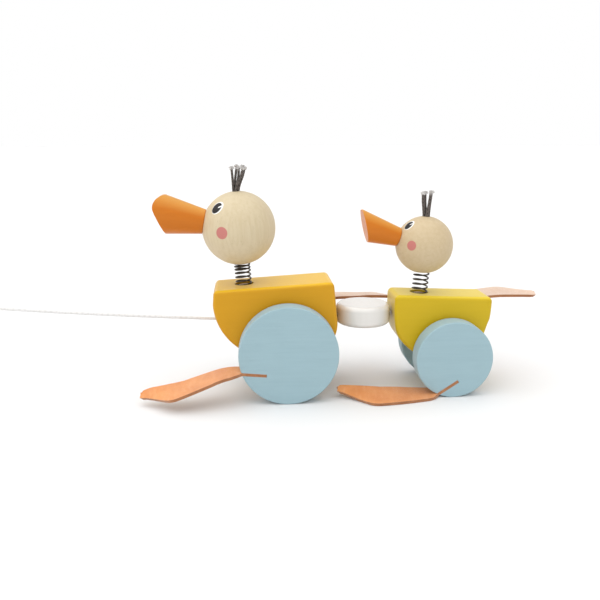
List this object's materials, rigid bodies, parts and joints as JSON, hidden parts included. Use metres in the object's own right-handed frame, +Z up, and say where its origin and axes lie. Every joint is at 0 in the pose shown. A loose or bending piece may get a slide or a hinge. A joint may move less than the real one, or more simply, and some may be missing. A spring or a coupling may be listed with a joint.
{
  "type": "pull along toy",
  "caption": "Wooden pull along mother duck towing a duckling on a swivelling link, with heads on springs, wheels with flapping leather feet and a pull cord.",
  "frame": {"origin": "middle of the toy's bounding box without its pull cord, on the floor", "axes": "+X from the mother's beak towards the duckling's tail, +Z up"},
  "size_m": [0.4239, 0.096, 0.1588],
  "materials": {
    "amber_paint": "painted amber yellow, satin",
    "lime_paint": "painted lime yellow, satin",
    "pale_blue_paint": "painted pale blue, matte, grain faintly showing",
    "orange_paint": "painted orange, satin",
    "varnished_wood": "clear varnished maple with printed eyes and cheeks",
    "plain_wood": "bare turned dowel",
    "washer_wood": "bare plywood",
    "white_paint": "painted white, gloss",
    "leather": "tan leather, smooth face, paler suede back",
    "spring_steel": "dark spring steel",
    "plated_steel": "zinc plated",
    "hair_cord": "grey waxed cord with pale frayed ends",
    "pull_cord": "white braided cord"
  },
  "bodies": {
    "mother_body": {"mother_body": "amber_paint", "mother_lower_neck_plug": "plain_wood", "link_lug_front": "plated_steel", "pull_cord": "pull_cord", "pull_cord_inner_knot": "pull_cord", "pull_bead": "varnished_wood", "pull_cord_knot": "pull_cord"},
    "mother_wheels": {"mother_wheel_left": "pale_blue_paint", "mother_wheel_right": "pale_blue_paint", "mother_axle": "plain_wood", "mother_axle_washers": "washer_wood"},
    "mother_foot_left": {"mother_foot_left": "leather"},
    "mother_foot_right": {"mother_foot_right": "leather"},
    "mother_neck": {"mother_neck_spring": "spring_steel"},
    "mother_head": {"mother_head": "varnished_wood", "mother_beak": "orange_paint", "mother_beak_dowel": "plain_wood", "mother_hair": "hair_cord", "mother_upper_neck_plug": "plain_wood"},
    "link": {"link_disc": "white_paint", "link_pins": "plated_steel"},
    "duckling_body": {"duckling_body": "lime_paint", "duckling_lower_neck_plug": "plain_wood", "link_lug_rear": "plated_steel"},
    "duckling_wheels": {"duckling_wheel_left": "pale_blue_paint", "duckling_wheel_right": "pale_blue_paint", "duckling_axle": "plain_wood", "duckling_axle_washers": "washer_wood"},
    "duckling_foot_left": {"duckling_foot_left": "leather"},
    "duckling_foot_right": {"duckling_foot_right": "leather"},
    "duckling_neck": {"duckling_neck_spring": "spring_steel"},
    "duckling_head": {"duckling_head": "varnished_wood", "duckling_beak": "orange_paint", "duckling_beak_dowel": "plain_wood", "duckling_hair": "hair_cord", "duckling_upper_neck_plug": "plain_wood"}
  },
  "joints": [
    {"name": "mother_wheels_spin", "type": "hinge", "parent": "mother_body", "child": "mother_wheels", "pos_m": [-0.04503, 0, 0.0337], "axis": [0, 1, 0], "continuous": true},
    {"name": "mother_head_nod", "type": "hinge", "parent": "mother_body", "child": "mother_neck", "pos_m": [-0.07412, 0, 0.0768], "axis": [0, -1, 0], "range_deg": [-14, 14], "stiffness_Nm_per_rad": 0.3, "springref_deg": -0.89, "deforming": ["mother_neck_spring"]},
    {"name": "mother_head_sway", "type": "hinge", "parent": "mother_neck", "child": "mother_head", "pos_m": [-0.07546, 0, 0.09055], "axis": [1, 0, 0], "range_deg": [-12, 12], "stiffness_Nm_per_rad": 0.45},
    {"name": "mother_foot_left_flex", "type": "hinge", "parent": "mother_wheels", "child": "mother_foot_left", "pos_m": [-0.07668, 0, 0.02212], "axis": [0, 1, 0], "range_deg": [-15, 30], "stiffness_Nm_per_rad": 0.15, "deforming": ["mother_foot_left"]},
    {"name": "mother_foot_right_flex", "type": "hinge", "parent": "mother_wheels", "child": "mother_foot_right", "pos_m": [-0.02071, 0, 0.05702], "axis": [0, -1, 0], "range_deg": [-15, 30], "stiffness_Nm_per_rad": 0.15, "deforming": ["mother_foot_right"]},
    {"name": "duckling_wheels_spin", "type": "hinge", "parent": "duckling_body", "child": "duckling_wheels", "pos_m": [0.06927, 0, 0.0268], "axis": [0, 1, 0], "continuous": true},
    {"name": "duckling_head_nod", "type": "hinge", "parent": "duckling_body", "child": "duckling_neck", "pos_m": [0.04967, 0, 0.06878], "axis": [0, -1, 0], "range_deg": [-14, 14], "stiffness_Nm_per_rad": 0.3, "springref_deg": -0.11, "deforming": ["duckling_neck_spring"]},
    {"name": "duckling_head_sway", "type": "hinge", "parent": "duckling_neck", "child": "duckling_head", "pos_m": [0.05119, 0, 0.08243], "axis": [1, 0, 0], "range_deg": [-12, 12], "stiffness_Nm_per_rad": 0.45},
    {"name": "duckling_foot_left_flex", "type": "hinge", "parent": "duckling_wheels", "child": "duckling_foot_left", "pos_m": [0.05837, 0, 0.00232], "axis": [0, 1, 0], "range_deg": [-15, 30], "stiffness_Nm_per_rad": 0.15, "deforming": ["duckling_foot_left"]},
    {"name": "duckling_foot_right_flex", "type": "hinge", "parent": "duckling_wheels", "child": "duckling_foot_right", "pos_m": [0.08017, 0, 0.05128], "axis": [0, -1, 0], "range_deg": [-15, 30], "stiffness_Nm_per_rad": 0.15, "deforming": ["duckling_foot_right"]},
    {"name": "link_yaw_front", "type": "hinge", "parent": "mother_body", "child": "link", "pos_m": [-0.00283, 0, 0.0544], "axis": [0, 0, 1], "range_deg": [-15, 15]},
    {"name": "link_yaw_rear", "type": "hinge", "parent": "link", "child": "duckling_body", "pos_m": [0.02217, 0, 0.0544], "axis": [0, 0, 1], "range_deg": [-15, 15]}
  ]
}
